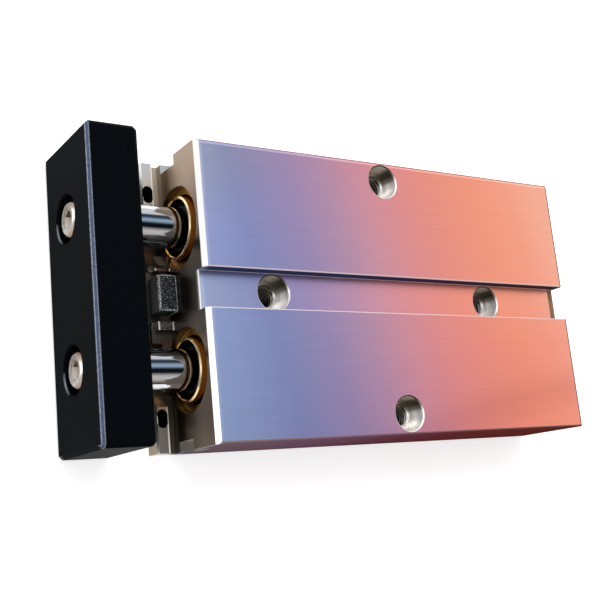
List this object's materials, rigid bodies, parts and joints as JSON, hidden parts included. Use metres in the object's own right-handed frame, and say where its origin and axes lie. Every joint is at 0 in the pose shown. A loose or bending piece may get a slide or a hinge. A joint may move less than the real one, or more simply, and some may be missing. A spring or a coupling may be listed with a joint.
{
  "type": "guided pneumatic cylinder",
  "caption": "Guided pneumatic cylinder: twin pistons side by side in a flat grooved block with a low front lip, their rods joined by a thick end plate.",
  "frame": {"origin": "on the bottom mounting face, in the middle of the four counterbored mounting holes", "axes": "+X is the way the rods come out, +Z is the normal of the grooved face, +Y is the left-hand side seen from behind"},
  "size_m": [0.1175, 0.058, 0.022],
  "materials": {
    "anodised_block": "brushed and hard anodised, satin",
    "stop_rubber": "moulded, matt and gritty",
    "black_plate": "black anodised, satin",
    "nickel_screw": "nickel plated",
    "chromed_rod": "ground and hard chromed",
    "bronze_gland": "turned",
    "ring_steel": "yellow zinc plated spring steel",
    "seal_rubber": "moulded, matt",
    "bushing_metal": "sintered",
    "bumper_urethane": "moulded, satin",
    "piston_alloy": "turned",
    "wear_ring_resin": "moulded, matt",
    "magnet_ferrite": "moulded ferrite, matt",
    "nut_steel": "zinc plated",
    "cap_alloy": "turned and clear anodised"
  },
  "bodies": {
    "cylinder": {"body": "anodised_block", "stop_block": "stop_rubber", "gland_left": "bronze_gland", "gland_right": "bronze_gland", "gland_ring_left": "ring_steel", "gland_ring_right": "ring_steel", "gland_o_ring_left": "seal_rubber", "gland_o_ring_right": "seal_rubber", "wiper_left": "seal_rubber", "wiper_right": "seal_rubber", "bushing_left": "bushing_metal", "bushing_right": "bushing_metal", "rod_seal_left": "seal_rubber", "rod_seal_right": "seal_rubber", "front_bumper_left": "bumper_urethane", "front_bumper_right": "bumper_urethane", "rear_cap_left": "cap_alloy", "rear_cap_right": "cap_alloy", "rear_bumper_left": "bumper_urethane", "rear_bumper_right": "bumper_urethane", "cap_o_ring_left": "seal_rubber", "cap_o_ring_right": "seal_rubber", "cap_ring_left": "ring_steel", "cap_ring_right": "ring_steel"},
    "carriage": {"end_plate": "black_plate", "plate_screws": "nickel_screw", "rod_left": "chromed_rod", "rod_right": "chromed_rod", "piston_left": "piston_alloy", "piston_right": "piston_alloy", "piston_seal_left": "seal_rubber", "piston_seal_right": "seal_rubber", "wear_ring_left": "wear_ring_resin", "wear_ring_right": "wear_ring_resin", "magnet_left": "magnet_ferrite", "magnet_right": "magnet_ferrite", "piston_nut_left": "nut_steel", "piston_nut_right": "nut_steel"}
  },
  "joints": [
    {"name": "rod_travel", "type": "slide", "parent": "cylinder", "child": "carriage", "axis": [1, 0, 0], "range_m": [0, 0.04]}
  ]
}
